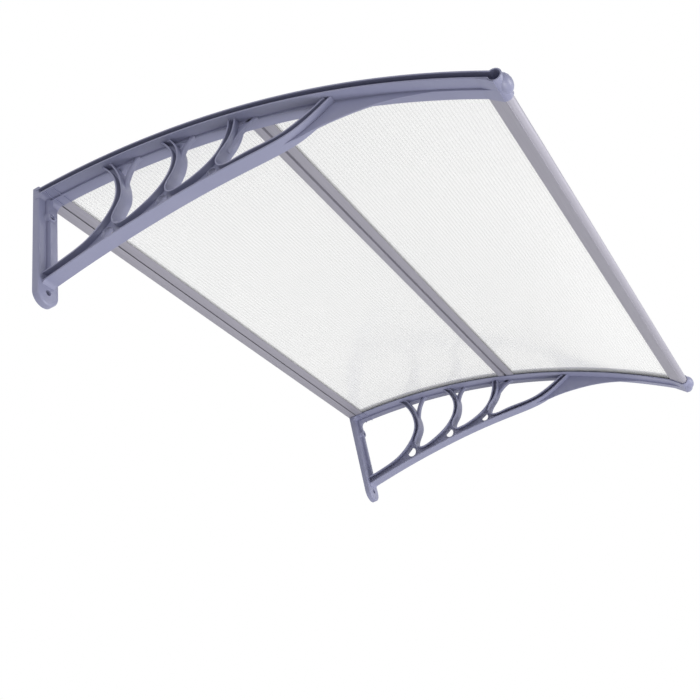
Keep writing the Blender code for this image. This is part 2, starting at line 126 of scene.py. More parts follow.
def piece(name, bodies, look, nodes, shift=0.0):
    """One object from closed bodies given as (points, faces), faces turned outwards, in metres."""
    points = np.concatenate([body[0] for body in bodies])
    starts = np.cumsum([0] + [len(body[0]) for body in bodies[:-1]])
    faces = [[int(i + start) for i in face]
             for body, start in zip(bodies, starts) for face in body[1]]
    mesh = bpy.data.meshes.new(name)
    mesh.from_pydata((points + (shift, 0, 0)) * MM, [], faces)
    built = bmesh.new()
    built.from_mesh(mesh)
    bmesh.ops.remove_doubles(built, verts=built.verts, dist=MERGE)
    bmesh.ops.recalc_face_normals(built, faces=built.faces)
    built.to_mesh(mesh)
    built.free()
    mesh.materials.append(look)
    mesh.shade_smooth()
    mesh.set_sharp_from_angle(angle=SMOOTH_BELOW)
    made = bpy.data.objects.new(name, mesh)
    bpy.context.scene.collection.objects.link(made)
    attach(made, "root")
    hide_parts(*nodes)


def principled(name):
    """A new material's tree, its shader and its Object coordinates."""
    made = bpy.data.materials.new(name)
    made.use_nodes = True
    tree = made.node_tree
    place = tree.nodes.new("ShaderNodeTexCoord").outputs["Object"]
    return made, tree, tree.nodes["Principled BSDF"], place


def noise(tree, place, scale, detail=3.0):
    """Height of a cloudy noise at the given coordinates."""
    cloud = tree.nodes.new("ShaderNodeTexNoise")
    cloud.inputs["Scale"].default_value = scale
    cloud.inputs["Detail"].default_value = detail
    tree.links.new(place, cloud.inputs["Vector"])
    return cloud.outputs["Fac"]


def blended(tree, value, colours, ends=(0.35, 0.65)):
    """Colour that goes from the first to the second while the value goes from end to end."""
    band = tree.nodes.new("ShaderNodeValToRGB")
    for stop, end, colour in zip(band.color_ramp.elements, ends, colours):
        stop.position = end
        stop.color = (*colour, 1)
    tree.links.new(value, band.inputs["Fac"])
    return band.outputs["Color"]


def spread(tree, value, low, high):
    """Value from 0.3 to 0.7 spread over a new range."""
    span = tree.nodes.new("ShaderNodeMapRange")
    span.inputs["From Min"].default_value = 0.3
    span.inputs["From Max"].default_value = 0.7
    span.inputs["To Min"].default_value = low
    span.inputs["To Max"].default_value = high
    tree.links.new(value, span.inputs["Value"])
    return span.outputs["Result"]


def calculated(tree, operation, a, b=0.0, c=0.0):
    """One Math node on values or sockets."""
    node = tree.nodes.new("ShaderNodeMath")
    node.operation = operation
    for socket, value in zip(node.inputs, (a, b, c)):
        if isinstance(value, (int, float)):
            socket.default_value = value
        else:
            tree.links.new(value, socket)
    return node.outputs[0]


def bumped(tree, shader, height, strength, distance=0.0001):
    """Small relief on the shader's normal."""
    relief = tree.nodes.new("ShaderNodeBump")
    relief.inputs["Distance"].default_value = distance
    relief.inputs["Strength"].default_value = strength
    tree.links.new(height, relief.inputs["Height"])
    tree.links.new(relief.outputs["Normal"], shader.inputs["Normal"])


MOULDED_COLOURS = ((0.236, 0.243, 0.362), (0.262, 0.268, 0.388))
MOULD_LINE_HALF = 0.5
MOULD_LINE_HEIGHT = 8.0  # compared with the grain

moulded, tree, shader, place = principled("blue_grey_moulding")
tree.links.new(blended(tree, noise(tree, place, scale=9.0), MOULDED_COLOURS),
               shader.inputs["Base Color"])
tree.links.new(spread(tree, noise(tree, place, scale=60.0), low=0.36, high=0.48),
               shader.inputs["Roughness"])
# The two halves of the mould leave a fine raised line on each bracket's middle plane.
axes = tree.nodes.new("ShaderNodeSeparateXYZ")
tree.links.new(place, axes.inputs["Vector"])
off = calculated(tree, "SUBTRACT", calculated(tree, "ABSOLUTE", axes.outputs["X"]), SPAN / 2 * MM)
line = calculated(tree, "LESS_THAN", calculated(tree, "ABSOLUTE", off), MOULD_LINE_HALF * MM)
grain = noise(tree, place, scale=1500.0, detail=2.0)
bumped(tree, shader, calculated(tree, "MULTIPLY_ADD", line, MOULD_LINE_HEIGHT, grain), strength=0.3)


def both_brackets(name, bodies):
    """The same piece on the left and on the right bracket."""
    for side, end in (("left", -1), ("right", 1)):
        piece(f"{side}_{name}", bodies, moulded, [f"{side}_bracket"],
              end * SPAN / 2)


def arch_curves():
    """Inner and outer side of the beam: along the upper lip, round the tube, back on the lower."""
    sides = []
    for upper, radius, lower, foot in ((GROOVE / 2, TUBE_BORE_R, -GROOVE / 2, 0.0),
                                       (GROOVE / 2 + UPPER_LIP, TUBE_R, UNDERSIDE, LIP_FILLET)):
        high, low = np.arcsin(upper / radius), np.arcsin(lower / radius)
        forth = np.linspace(LIP_START, TUBE_S - radius * np.cos(high), UPPER_ROWS)
        back = np.r_[np.linspace(TUBE_S - radius * np.cos(low), FINE_FROM, LOWER_ROWS),
                     np.linspace(FINE_FROM - 1, LIP_START, FINE_ROWS)]
        tube = arc(on_bend(TUBE_S, 0), radius, TUBE_TILT + np.pi - high, TUBE_TILT - np.pi - low,
                   TUBE_SIDES)
        sides.append(np.vstack([on_bend(forth, upper), tube[1:-1],
                                on_bend(back, lower - fillet(back - PLATE_DEPTH, foot))]))
    return sides


both_brackets("arch", [strip(*arch_curves(), ARCH_WIDTH / 2)])

# Struts of each bracket: four window rims, each a curved strip of the moulding that runs from the
# arch down, along the brace and up again. They give the bracket its openwork.
RIM = 2.8
RIM_WIDTH = 28.0
FLARE = 3.0
FLARE_END = 1.5  # a rim is at its widest this far before its end
IN_LIP = -LOWER_LIP / 2
CURVE_STEP = 2.5
WINDOWS = (
    ((LIP_START, 165.5), (31, 162.5), (60, 156.5), (100, 143.5), (130, 124), (150, 104), (164, 79),
     (166.5, 55), (158, 23), (140, IN_LIP)),
    ((161, IN_LIP), (173.5, 26), (179.5, 55), (177, 84), (163, 107), (157, 121), (160, 130.5),
     (168, 134.5), (184, 132.5), (210, 121), (240, 103), (262, 82.5), (276, 60.5), (281, 38),
     (275, 15.5), (262, IN_LIP)),
    ((281.5, IN_LIP), (291, 16), (294, 33.5), (290, 54.5), (277, 78.5), (265, 95), (264, 104),
     (269.5, 109.5), (280, 109), (300, 103), (325, 91), (350, 74.5), (370, 54), (384, 30),
     (391, 12), (393.5, IN_LIP)),
    ((408, IN_LIP), (400.5, 23.5), (383, 51), (367, 69), (362, 79.5), (364.5, 87.5), (373, 90),
     (400, 83), (440, 71), (480, 57), (510, 39.5), (540, 17.5), (562, IN_LIP)),
)


def level(d, drop):
    """Side-view points at a drop from the arch's underside, one for all or one each."""
    height = np.sqrt((BEND_RADIUS + UNDERSIDE) ** 2 - (d + CROWN_BACK) ** 2)
    return np.stack([d, CENTRE_Z + height - drop], -1)


def under(points):
    """Side-view points given as (d, drop)."""
    return level(*np.asarray(points, float).T)


def spline(points, step=CURVE_STEP):
    """Natural cubic spline through the points, by the length of the runs between them."""
    p = under(points)
    t = np.r_[0, np.cumsum(np.linalg.norm(np.diff(p, axis=0), axis=1))]
    gap = np.diff(t)
    slope = np.diff(p, axis=0) / gap[:, None]
    system = np.diag(np.r_[1, 2 * (gap[:-1] + gap[1:]), 1])
    system += np.diag(np.r_[gap[:-1], 0], -1) + np.diag(np.r_[0, gap[1:]], 1)
    bend = np.linalg.solve(system, np.vstack([[0, 0], 6 * np.diff(slope, axis=0), [0, 0]]))
    fine = np.linspace(0, t[-1], int(t[-1] / step) + 2)
    k = np.clip(np.searchsorted(t, fine, side="right") - 1, 0, len(gap) - 1)
    a, g = ((fine - t[k]) / gap[k])[:, None], gap[k][:, None]
    return ((1 - a) * p[k] + a * p[k + 1]
            + g ** 2 / 6 * (((1 - a) ** 3 - (1 - a)) * bend[k] + (a ** 3 - a) * bend[k + 1]))


def moved_right(curve, distance):
    """The curve moved to the right of its heading, square to the mean of its two steps."""
    step = np.diff(curve, axis=0)
    normal = np.stack([step[:, 1], -step[:, 0]], 1) / np.linalg.norm(step, axis=1)[:, None]
    at_point = np.vstack([normal[:1], normal[:-1] + normal[1:], normal[-1:]])
    at_point /= np.linalg.norm(at_point, axis=1)[:, None]
    return curve + at_point * np.broadcast_to(distance, len(curve))[:, None]


def along(curve):
    """Length from the curve's start to each of its points."""
    return np.r_[0, np.cumsum(np.linalg.norm(np.diff(curve, axis=0), axis=1))]


def rim(points):
    """Rim strip whose outer side flares where it runs into the arch."""
    curve = spline(points)
    run = along(curve)
    flare = fillet(run[-1] - run - FLARE_END, FLARE)
    if points[0][1] == IN_LIP:
        flare = flare + fillet(run - FLARE_END, FLARE)
    return strip(curve, moved_right(curve, RIM + flare), RIM_WIDTH / 2)


both_brackets("struts", [rim(points) for points in WINDOWS])

# Forks of each bracket: three short moulded bars that branch off the struts and run up to the
# arch. They stand on the middle plane and widen softly at both ends.
FORK = 5.5
FORK_WIDTH = 8.0
FORK_EDGE = 1.2
HEAD_SWELL = 2.5
HEAD_RUN = 8.0
FOOT_SWELL = 1.5
FOOT_RUN = 10.0
FORK_WEB = 3.0
FORK_WEBS = (6.0, 6.0, 13.0)
FORK_WEB_ROWS = 60
ABOVE_FOOT = 3.0  # the wall beside a fork ends this far above the fork's foot
LEAST_WALL = 0.5
FORKS = (
    ((173, 73), (177, 61), (181.5, 46), (192.5, 21.5), (203, 7), (210, IN_LIP)),
    ((283, 60), (288, 49), (295, 32), (305.5, 14.5), (316, 3.5), (321, IN_LIP)),
    ((376, 55), (386, 44), (398, 32), (410, 20.5), (422, 11), (433, 4), (441, IN_LIP)),
)


def fork(points):
    """Bar about a spline, half of it wider by swell * exp(-(run / reach)^2) at head and foot."""
    curve = spline(points)
    run = along(curve)
    wide = (FORK / 2 + HEAD_SWELL * np.exp(-((run[-1] - run) / HEAD_RUN) ** 2)
            + FOOT_SWELL * np.exp(-(run / FOOT_RUN) ** 2))
    return strip(moved_right(curve, -wide), moved_right(curve, wide), FORK_WIDTH / 2, FORK_EDGE)


def drops(curve):
    """How far each point of a side-view curve lies below the arch's underside."""
    return level(curve[:, 0], 0)[:, 1] - curve[:, 1]


def beside(points, window, width):
    """Thin wall between a fork and its strut, which leaves a small opening below the arch.

    At every drop it runs from the fork's middle back to the strut's edge, or for the width.
    """
    bar, strut = spline(points), spline(window)
    strut = strut[:int(np.argmax(drops(strut)))]
    drop = np.linspace(IN_LIP, points[0][1] - ABOVE_FOOT, FORK_WEB_ROWS)
    right = np.interp(drop, drops(bar)[::-1], bar[::-1, 0])
    edge = np.interp(drop, drops(strut), strut[:, 0]) - RIM / 2
    left = np.maximum(edge, right - FORK / 2 - width)
    right = np.maximum(right, left + LEAST_WALL)
    return strip(level(left, drop), level(right, drop), FORK_WEB / 2, THIN_EDGE)


both_brackets("forks", [fork(points) for points in FORKS]
              + [beside(points, window, width)
                 for points, window, width in zip(FORKS, WINDOWS[1:], FORK_WEBS)])

# Brace of each bracket: a moulded flange that runs from the foot of the wall plate up to the arch
# and closes the openwork below. It spreads a little where it meets the plate.
FLANGE = 3.0
FLANGE_WIDTH = 29.0
FLANGE_FILLET = 5.0
FLANGE_STEP = 4.0
FLANGE_TOP = ((LIP_START, 183.5), (100, 165), (200, 143), (300, 118.5), (400, 92.5), (470, 70.5),
              (500, 56.5), (520, 43.5), (545, 24), (574, IN_LIP))


def brace():
    """Strip below a spline, thicker by two quarter rounds at the wall plate."""
    curve = spline(FLANGE_TOP, FLANGE_STEP)
    spreading = fillet(curve[:, 0] - PLATE_DEPTH, FLANGE_FILLET)
    return strip(moved_right(curve, -spreading / 2), moved_right(curve, FLANGE + spreading),
                 FLANGE_WIDTH / 2)


both_brackets("brace", [brace()])

# Web of each bracket: the 3 mm wall on the middle plane that joins arch, struts and brace and
# reaches out under the arch as a slim gusset. Three round holes with collars pierce it.
WEB = 3.0
STUB = 4.0  # depth of the web's rib along the underside of the arch
GUSSET_EDGE = ((478, 70.5), (500, 64.5), (525, 54.5), (556, 43), (596, 30), (637, 18.5),
               (680, 10), (722, STUB))
TUBE_ROOT_R = TUBE_R - 1.2  # what joins the tube from outside starts inside its wall
BRACE_HOLES = (((137, 137.5), 11.0), ((246, 115), 10.0), ((344.5, 92), 8.5))
HOLE_SIDES = 48
COLLAR_WALL = 2.5
COLLAR_WIDTH = 5.5
COLLAR_EDGE = 0.6


def plate(outlines, half):
    """Flat plate with holes on the bracket's middle plane: two triangulated sides and its edges."""
    loop = np.concatenate(outlines)
    count = len(loop)
    points = np.stack([np.repeat([-half, half], count), -np.tile(loop[:, 0], 2),
                       np.tile(loop[:, 1], 2)], 1)
    sides = tessellate_polygon([[(d, z, 0) for d, z in outline] for outline in outlines])
    faces = [list(face) for face in sides] + [[i + count for i in face] for face in sides]
    start = 0
    for outline in outlines:
        i = start + np.arange(len(outline))
        j = np.roll(i, -1)
        faces += np.stack([i, j, j + count, i + count], 1).tolist()
        start += len(outline)
    return points, faces


def window_edge(points):
    """Opening of the web: the part of the rim's middle line that lies below the arch's rib."""
    curve = moved_right(spline(points), RIM / 2)
    below = np.flatnonzero(curve[:, 1] - level(curve[:, 0], STUB)[:, 1] < 0)
    edge = curve[below[0]:below[-1] + 1]
    top = np.linspace(edge[-1, 0], edge[0, 0], 24)[1:-1]
    return np.vstack([edge, level(top, STUB)])


def web_edge():
    """Outline of the web, all of it hidden in arch, brace and plate but for the gusset's edge."""
    start = LIP_START / 2
    tip = on_bend(TUBE_S, 0)
    rib = np.linspace(tip[0] - TUBE_R, GUSSET_EDGE[-1][0], 20)
    lower = moved_right(spline(FLANGE_TOP, FLANGE_STEP), FLANGE / 2)[::-1]
    lower = lower[lower[:, 0] < GUSSET_EDGE[0][0] - FLANGE]
    return np.vstack([
        on_bend(np.linspace(start, TUBE_S, 90), GROOVE / 2 + UPPER_LIP / 2)[:-1],
        arc(tip, TUBE_ROOT_R, TUBE_TILT + np.pi / 2, TUBE_TILT - np.pi / 2, 32),
        level(rib, STUB), spline(GUSSET_EDGE)[::-1][1:], lower, [[start, lower[-1, 1]]]])


def ring(centre, section):
    """Body turned about a line along X: a closed section of (radius, x) points, revolved."""
    angle = np.linspace(0, 2 * np.pi, HOLE_SIDES + 1)[:-1]
    radius, x = np.asarray(section, float).T
    d = centre[0] + radius * np.cos(angle)[:, None]
    z = centre[1] + radius * np.sin(angle)[:, None]
    points = np.stack([np.broadcast_to(x, d.shape), -d, z], -1).reshape(-1, 3)
    n = len(x)
    i, j = np.meshgrid(np.arange(HOLE_SIDES), np.arange(n), indexing="ij")
    next_i, next_j = (i + 1) % HOLE_SIDES, (j + 1) % n
    faces = np.stack([i * n + j, next_i * n + j, next_i * n + next_j, i * n + next_j], -1)
    return points, faces.reshape(-1, 4).tolist()


def collar(centre, radius):
    """Ring with quarter-round edges that frames a hole in the web."""
    turn = np.linspace(0, np.pi / 2, 4)
    inset = COLLAR_EDGE * (1 - np.cos(turn))
    x = COLLAR_WIDTH / 2 - COLLAR_EDGE * (1 - np.sin(turn))
    inner = np.stack([radius + inset, x], 1)
    outer = np.stack([radius + COLLAR_WALL - inset, x], 1)[::-1]
    top = np.vstack([inner, outer])
    return ring(under([centre])[0], np.vstack([top, (top * (1, -1))[::-1]]))


holes = [arc(under([centre])[0], radius + COLLAR_WALL / 2, 0, 2 * np.pi, HOLE_SIDES)[:-1]
         for centre, radius in BRACE_HOLES]
both_brackets("web", [plate([web_edge()] + [window_edge(points) for points in WINDOWS] + holes,
                            WEB / 2)])
both_brackets("collars", [collar(centre, radius) for centre, radius in BRACE_HOLES])

# Wall plate of each bracket: a flat moulded foot that is screwed to the wall through its round ear
# and through the boss near its top. A rib stiffens it on the middle line.
PLATE_WIDTH = 48.0
PLATE_TOP = 14.5
PLATE_ROUND = 3.0
PLATE_BEVEL = 0.4
PLATE_HOLD = 0.6  # like HOLD, below the round of the front face
TOP_CORNER = 3.6
EAR_Z = -208.0
EAR_POINTS = 49
CORNER_POINTS = 9
SCREW_HOLE_R = 4.5
SCREW_HOLE_SIDES = 32
HOLE_WIDENS = 0.6
HOLE_BEVEL = 0.5
BOSS_Z = -49.0
BOSS_R = 9.5
BOSS_REACH = 22.0
BOSS_FILLET = 2.0
BOSS_EDGE = 0.9
BOSS_ROOT = 0.8  # the boss starts this deep in the plate
HEAD_R = 5.6  # recess for the screw's head
HEAD_DEPTH = 5.0
BORE_EDGE = 0.5
BORE_CLEAR = 0.01  # keeps the boss's bore off the wall of the plate's hole
PLATE_RIB = 6.0
PLATE_RIB_EDGE = 0.8
PLATE_RIB_REACH = 20.0
RIB_IN_BOSS = 1.0
NECK_WIDTH = 13.0
NECK_EDGE = 4.0
PAD_RIB = 1.8
PAD_DEPTH = 2.2
PAD_BACK = 0.5  # cross ribs end this far from the arch's edges
PAD_STARTS = (25.0, 41.5)


def stacked(loops, depths):
    """Side walls through loops of (x, z) points, one at each depth out from the wall."""
    rows, columns = len(loops), len(loops[0])
    points = np.concatenate([np.stack([loop[:, 0], np.full(columns, -depth), loop[:, 1]], 1)
                             for loop, depth in zip(loops, depths)])
    return points, wrapped(rows, columns)


def plate_loops():
    """The plate's outline of three arcs, drawn in by a quarter round towards its front face."""
    inner = PLATE_WIDTH / 2 - TOP_CORNER
    corner_z = PLATE_TOP - TOP_CORNER
    corner = np.linspace(0, np.pi / 2, CORNER_POINTS)
    angle = np.r_[np.linspace(-np.pi, 0, EAR_POINTS), corner, corner + np.pi / 2]
    radius = np.repeat([PLATE_WIDTH / 2, TOP_CORNER], [EAR_POINTS, 2 * CORNER_POINTS])
    middle = np.repeat([[0, EAR_Z], [inner, corner_z], [-inner, corner_z]],
                       [EAR_POINTS, CORNER_POINTS, CORNER_POINTS], axis=0)
    turn = np.linspace(0, np.pi / 2, 7)
    inset = np.r_[PLATE_BEVEL, 0.0, 0.0, PLATE_ROUND * (1 - np.cos(turn)),
                  PLATE_ROUND + PLATE_BEVEL]
    depths = np.r_[0.0, PLATE_BEVEL, PLATE_DEPTH - PLATE_ROUND - PLATE_HOLD,
                   PLATE_DEPTH - PLATE_ROUND * (1 - np.sin(turn)), PLATE_DEPTH]
    way = np.stack([np.cos(angle), np.sin(angle)], 1)
    return [middle + way * (radius - i)[:, None] for i in inset], depths


def hole_loops(z):
    """The screw hole at one height, wider from HEAD_DEPTH on, with an edge broken at each face."""
    angle = np.linspace(0, 2 * np.pi, SCREW_HOLE_SIDES + 1)[:-1]
    circle = np.stack([np.cos(angle), np.sin(angle)], 1)
    radii = (SCREW_HOLE_R + HOLE_WIDENS, SCREW_HOLE_R, SCREW_HOLE_R,
             HEAD_R, HEAD_R, HEAD_R + PLATE_BEVEL)
    depths = (0.0, HOLE_BEVEL, HEAD_DEPTH, HEAD_DEPTH, PLATE_DEPTH - PLATE_BEVEL, PLATE_DEPTH)
    return [np.array([0, z]) + radius * circle for radius in radii], depths


def wall_plate():
    """Side walls of plate and screw holes, and a back and a front face that join them."""
    walls = [plate_loops(), hole_loops(BOSS_Z), hole_loops(EAR_Z)]
    bodies = [stacked(loops, depths) for loops, depths in walls]
    for row in (0, -1):
        outlines = [loops[row] for loops, depths in walls]
        face = np.concatenate(outlines)
        depth = walls[0][1][row]
        cap = tessellate_polygon([[(x, z, 0) for x, z in outline] for outline in outlines])
        bodies.append((np.stack([face[:, 0], np.full(len(face), -depth), face[:, 1]], 1),
                       [list(triangle) for triangle in cap]))
    return bodies


def boss():
    """Turned sleeve round the upper screw hole: a closed section of (radius, depth), revolved."""
    turn = np.linspace(0, np.pi / 2, 5)
    foot = np.stack([BOSS_R + BOSS_FILLET * (1 - np.sin(turn)),
                     PLATE_DEPTH + BOSS_FILLET * (1 - np.cos(turn))], 1)
    head = np.stack([BOSS_R - BOSS_EDGE * (1 - np.cos(turn)),
                     BOSS_REACH - BOSS_EDGE * (1 - np.sin(turn))], 1)
    bore_r = HEAD_R + BORE_CLEAR
    bore = [[HEAD_R + BORE_EDGE, BOSS_REACH], [bore_r, BOSS_REACH - BORE_EDGE],
            [bore_r, PLATE_DEPTH - BOSS_ROOT], [BOSS_R + BOSS_FILLET, PLATE_DEPTH - BOSS_ROOT]]
    points, faces = ring((0, 0), np.vstack([foot, head, bore]))
    return np.stack([-points[:, 1], -points[:, 0], points[:, 2] + BOSS_Z], 1), faces


def plate_rib(low, high, width, edge):
    """Upright rib from inside the plate out to PLATE_RIB_REACH."""
    z = np.linspace(low, high, 24)
    return strip(np.stack([np.full_like(z, LIP_START), z], 1),
                 np.stack([np.full_like(z, PLATE_RIB_REACH), z], 1), width / 2, edge, steps=6)


def cross_rib(start):
    """Shallow rib across the arch's underside."""
    d = np.array([start, start + PAD_RIB])
    return strip(level(d, IN_LIP), level(d, PAD_DEPTH), ARCH_WIDTH / 2 - PAD_BACK, THIN_EDGE)


rib_foot = under([(LIP_START, FLANGE_TOP[0][1])])[0, 1]
rib_head = BOSS_Z - BOSS_R + RIB_IN_BOSS
neck_head = under([(PLATE_RIB_REACH, IN_LIP)])[0, 1]
both_brackets("wall_plate", wall_plate())
both_brackets("plate_ribs", [boss(), plate_rib(rib_foot, rib_head, PLATE_RIB, PLATE_RIB_EDGE),
                             plate_rib(BOSS_Z, neck_head, NECK_WIDTH, NECK_EDGE)]
              + [cross_rib(start) for start in PAD_STARTS])

# Nose of each bracket: the rounded knob in front of the tube, and the flat keel that slants down
# to a ridge below it. Both are moulded in one with the tube, so they start inside the tube's wall.
NOSE_R = 12.8
NOSE_HALF_LENGTH = 21.0
NOSE_OFF = np.array([6.0, -0.5])
NOSE_ROWS = 48
NOSE_COLUMNS = 40
KEEL_START = 846.0
KEEL_END = 877.0
KEEL_DROP = 12.1
KEEL_WALL = 1.3
LEAST_KEEL = 0.2


def nose():
    """Ellipsoid x^2 / NOSE_HALF_LENGTH^2 + |p - NOSE_OFF|^2 / NOSE_R^2 = 1 round the tube's tip.

    It is seen from the tube's axis: its distance in each direction, from the tube's wall outwards.
    """
    off = np.hypot(*NOSE_OFF)
    widest = np.arccos((TUBE_ROOT_R ** 2 + off ** 2 - NOSE_R ** 2) / (2 * TUBE_ROOT_R * off))
    aim = np.arctan2(NOSE_OFF[1], NOSE_OFF[0])
    turn = widest * np.sin(np.linspace(-np.pi / 2, np.pi / 2, NOSE_ROWS + 1))
    share = np.sin(np.linspace(-np.pi / 2, np.pi / 2, NOSE_COLUMNS + 1))
    at_root = TUBE_ROOT_R ** 2 + off ** 2 - 2 * TUBE_ROOT_R * off * np.cos(turn)
    reach = NOSE_HALF_LENGTH * np.sqrt(np.clip(1 - at_root / NOSE_R ** 2, 0, 1))
    x = reach[:, None] * share[None]
    ahead = (off * np.cos(turn))[:, None]
    outer = ahead + np.sqrt(np.clip(ahead ** 2 - off ** 2
                                    + NOSE_R ** 2 * (1 - (x / NOSE_HALF_LENGTH) ** 2), 0, None))
    outer = np.maximum(outer, TUBE_ROOT_R)
    way = np.stack([np.cos(aim + turn), np.sin(aim + turn)], -1)[:, None]
    tip = on_bend(TUBE_S, 0)
    sheets = [tip + way * r[..., None] for r in (outer, np.full_like(outer, TUBE_ROOT_R))]
    points = np.concatenate([np.stack([x, -side[..., 0], side[..., 1]], -1).reshape(-1, 3)
                             for side in sheets])
    n = NOSE_COLUMNS + 1
    i, j = np.meshgrid(np.arange(NOSE_ROWS), np.arange(NOSE_COLUMNS), indexing="ij")
    a = (i * n + j).ravel()
    quads = np.stack([a, a + n, a + n + 1, a + 1], 1)
    return points, quads.tolist() + (quads + x.size).tolist()


def keel(start, end, high, low, inside, half):
    """Flat underside that slants from a lip, at -high, down to a ridge below the tube, at -low."""
    s = np.linspace(start, end, 12)
    bottom = -np.linspace(high, low, 12)
    top = -np.maximum(high - KEEL_WALL,
                      np.sqrt(np.clip(inside ** 2 - (TUBE_S - s) ** 2, 0, None)))
    bottom = np.minimum(bottom, top - LEAST_KEEL)
    return strip(on_bend(s, top), on_bend(s, bottom), half, THIN_EDGE)


both_brackets("nose", [nose(), keel(KEEL_START, KEEL_END, -UNDERSIDE, KEEL_DROP, TUBE_ROOT_R,
                                    ARCH_WIDTH / 2)])

# Rear rail: an aluminium extrusion that lies against the wall and takes the rear sheet in a slot.
# Its chamber is open below through a narrow mouth. Both ends are sawn out round the wall plates.
FIT = 0.3
RAIL_WALL = 1.4
SLOT_DEPTH = 14.0
RAIL_HALF = GROOVE / 2 - FIT
SHEET = 4.5
SLOT_HALF = SHEET / 2 + FIT
REAR_RAIL_WIDTH = 39.0
REAR_RAIL_EDGE = 0.3
REAR_MOUTH = (18.4, 20.8)
SLOT_FLOOR = REAR_RAIL_WIDTH - SLOT_DEPTH
PIECE_HALF = SPAN / 2 - WEB / 2 - FIT
NOTCH_HALF = ARCH_WIDTH / 2 + FIT
BOTH_ENDS = ((-PIECE_HALF, False), (PIECE_HALF, False))
CORNER_STEPS = 3
CORNER_SHARE = 0.4  # a corner takes no more than this share of its sides
ANODISED_COLOURS = ((0.355, 0.345, 0.402), (0.395, 0.384, 0.442))
DRAWN_OUT = (1.0, 60.0, 60.0)  # the extrusion's fine lines run along X

drawn, tree, shader, place = principled("purple_grey_anodised")
mapping = tree.nodes.new("ShaderNodeMapping")
mapping.inputs["Scale"].default_value = DRAWN_OUT
tree.links.new(place, mapping.inputs["Vector"])
lines = mapping.outputs["Vector"]
tree.links.new(blended(tree, noise(tree, lines, scale=12.0), ANODISED_COLOURS),
               shader.inputs["Base Color"])
tree.links.new(spread(tree, noise(tree, lines, scale=30.0), low=0.5, high=0.62),
               shader.inputs["Roughness"])
bumped(tree, shader, noise(tree, lines, scale=40.0, detail=2.0), strength=0.2)
shader.inputs["Metallic"].default_value = 0.35


def rounded(corners, radius):
    """Closed (s, h) outline with each corner cut back and turned through a quadratic curve."""
    p = np.asarray(corners, float)
    before, after = np.roll(p, 1, axis=0) - p, np.roll(p, -1, axis=0) - p
    size = [np.linalg.norm(v, axis=1)[:, None] for v in (before, after)]
    cut = np.minimum(radius, np.minimum(size[0], size[1]) * CORNER_SHARE)
    start, end = p + before / size[0] * cut, p + after / size[1] * cut
    t = np.linspace(0, 1, CORNER_STEPS + 1)[None, :, None]
    turned = (1 - t) ** 2 * start[:, None] + 2 * t * (1 - t) * p[:, None] + t ** 2 * end[:, None]
    return turned.reshape(-1, 2)


def side_view(outline):
    """Side-view outline from (s, h) points."""
    return on_bend(outline[:, 0], outline[:, 1])


def extrusion(outlines, stations, cut_to=None):
    """Side-view outlines carried along X; at a station marked True they start at cut_to."""
    loop = np.concatenate(outlines)
    rows = []
    for x, sawn in stations:
        d = np.maximum(loop[:, 0], cut_to) if sawn else loop[:, 0]
        rows.append(np.stack([np.full(len(loop), x), -d, loop[:, 1]], 1))
    faces = []
    start = 0
    for outline in outlines:
        i = start + np.arange(len(outline))
        j = np.roll(i, -1)
        for row in range(len(stations) - 1):
            base = row * len(loop)
            faces += (base + np.stack([i, j, j + len(loop), i + len(loop)], 1)).tolist()
        start += len(outline)
    cap = tessellate_polygon([[(d, z, 0) for d, z in outline] for outline in outlines])
    last = (len(stations) - 1) * len(loop)
    faces += [list(face) for face in cap] + [[i + last for i in face] for face in cap]
    return np.concatenate(rows), faces


def rail(name, bodies):
    """One aluminium rail."""
    piece(name + "_extrusion", bodies, drawn, [name])


chamber = (RAIL_WALL, SLOT_FLOOR - RAIL_WALL)
outline = side_view(rounded([
    (0.0, RAIL_HALF), (REAR_RAIL_WIDTH, RAIL_HALF), (REAR_RAIL_WIDTH, SLOT_HALF),
    (SLOT_FLOOR, SLOT_HALF), (SLOT_FLOOR, -SLOT_HALF), (REAR_RAIL_WIDTH, -SLOT_HALF),
    (REAR_RAIL_WIDTH, -RAIL_HALF), (REAR_MOUTH[1], -RAIL_HALF), (REAR_MOUTH[1], -SLOT_HALF),
    (chamber[1], -SLOT_HALF), (chamber[1], SLOT_HALF), (chamber[0], SLOT_HALF),
    (chamber[0], -SLOT_HALF), (REAR_MOUTH[0], -SLOT_HALF), (REAR_MOUTH[0], -RAIL_HALF),
    (0.0, -RAIL_HALF)], REAR_RAIL_EDGE))
outline[:, 0] = np.maximum(outline[:, 0], 0)  # nothing reaches behind the wall's face
notch = SPAN / 2 - NOTCH_HALF
rail("rear_rail", [extrusion([outline], [(-PIECE_HALF, True), (-notch, True), (-notch, False),
                                         (notch, False), (notch, True), (PIECE_HALF, True)],
                             cut_to=PLATE_DEPTH + FIT)])

# Middle rail: an aluminium H section that joins the two sheets. The chamber between them is open
# below along its rear wall and shows as a dark line.
MIDDLE_RAIL_S = 443.8
MIDDLE_HALF = 19.5
CHAMBER_HALF = 4.5
MOUTH = 6.0
RAIL_EDGE = 0.4
web_half = CHAMBER_HALF + RAIL_WALL
front_slot = [(MIDDLE_HALF, RAIL_HALF), (MIDDLE_HALF, SLOT_HALF), (web_half, SLOT_HALF),
              (web_half, -SLOT_HALF), (MIDDLE_HALF, -SLOT_HALF), (MIDDLE_HALF, -RAIL_HALF)]
chamber = [(MOUTH - CHAMBER_HALF, -RAIL_HALF), (MOUTH - CHAMBER_HALF, -SLOT_HALF),
           (CHAMBER_HALF, -SLOT_HALF), (CHAMBER_HALF, SLOT_HALF), (-CHAMBER_HALF, SLOT_HALF),
           (-CHAMBER_HALF, -RAIL_HALF)]
rear_slot = [(-s, h) for s, h in front_slot[::-1]]
outline = rounded(front_slot + chamber + rear_slot, RAIL_EDGE) + (MIDDLE_RAIL_S, 0)
